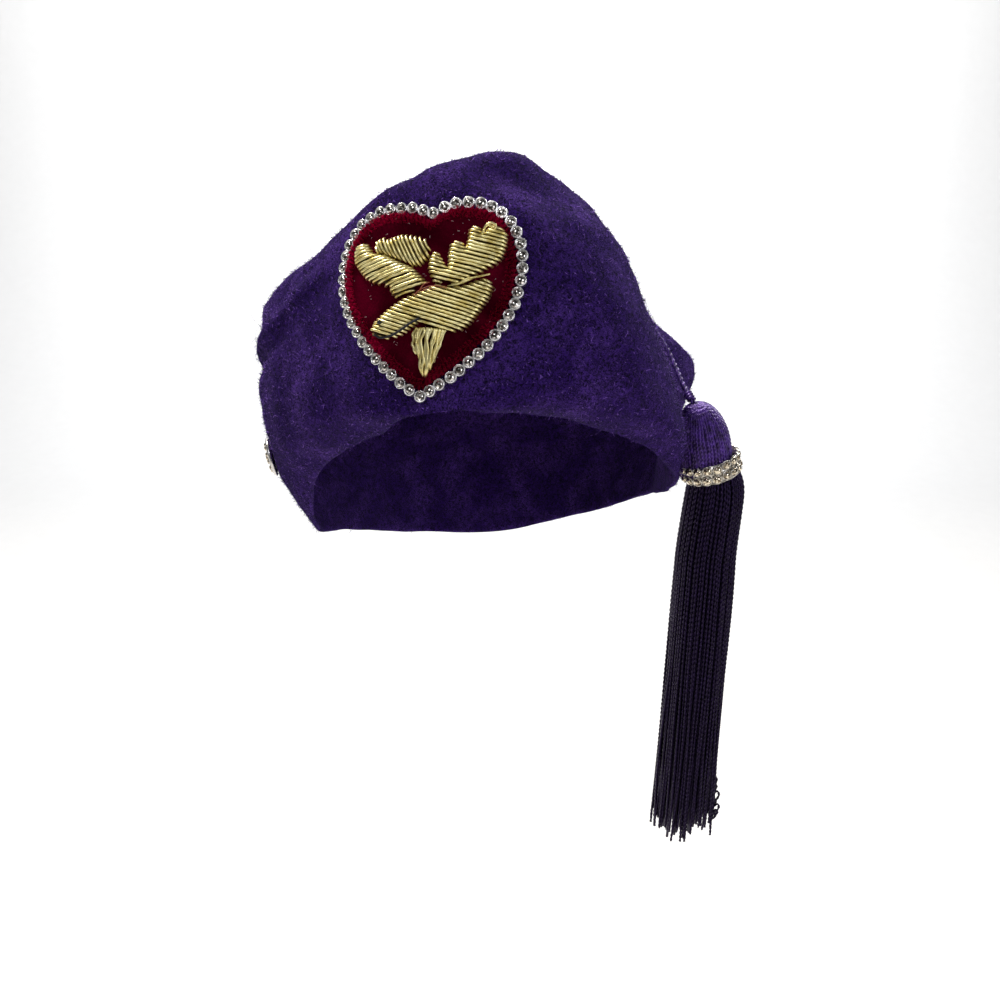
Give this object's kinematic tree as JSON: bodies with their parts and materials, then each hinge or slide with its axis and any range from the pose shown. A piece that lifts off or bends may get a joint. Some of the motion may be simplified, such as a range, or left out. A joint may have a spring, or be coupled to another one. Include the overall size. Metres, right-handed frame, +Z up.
{
  "type": "felt fez with tassel",
  "caption": "Soft felt fez worn tilted back, with a heart-shaped velvet patch edged in stones, a padded gold-work bird and a long tassel on a cord.",
  "frame": {"origin": "centre of the head opening, where a head holds the fez", "axes": "+X to the right as the patch is looked at, +Y towards the back of the head, +Z up"},
  "size_m": [0.2122, 0.2154, 0.3292],
  "materials": {
    "felt": "napped wool felt",
    "velvet": "cotton velvet",
    "settings": "silver-plated cups with clear stones",
    "gold_work": "bright bullion wire over padding",
    "rayon": "twisted rayon yarn",
    "band_stones": "silver-plated band with champagne stones"
  },
  "bodies": {
    "root": {"felt_cap": "felt", "heart_patch": "velvet", "stone_trim": "settings", "bird_body": "gold_work", "bird_left_wing": "gold_work", "bird_upper_feathers": "gold_work", "bird_right_wing": "gold_work", "bird_tail": "gold_work", "side_brooch": "settings", "crown_button": "rayon", "tassel_cord": "rayon", "tassel": "rayon", "tassel_band": "band_stones"}
  },
  "joints": []
}
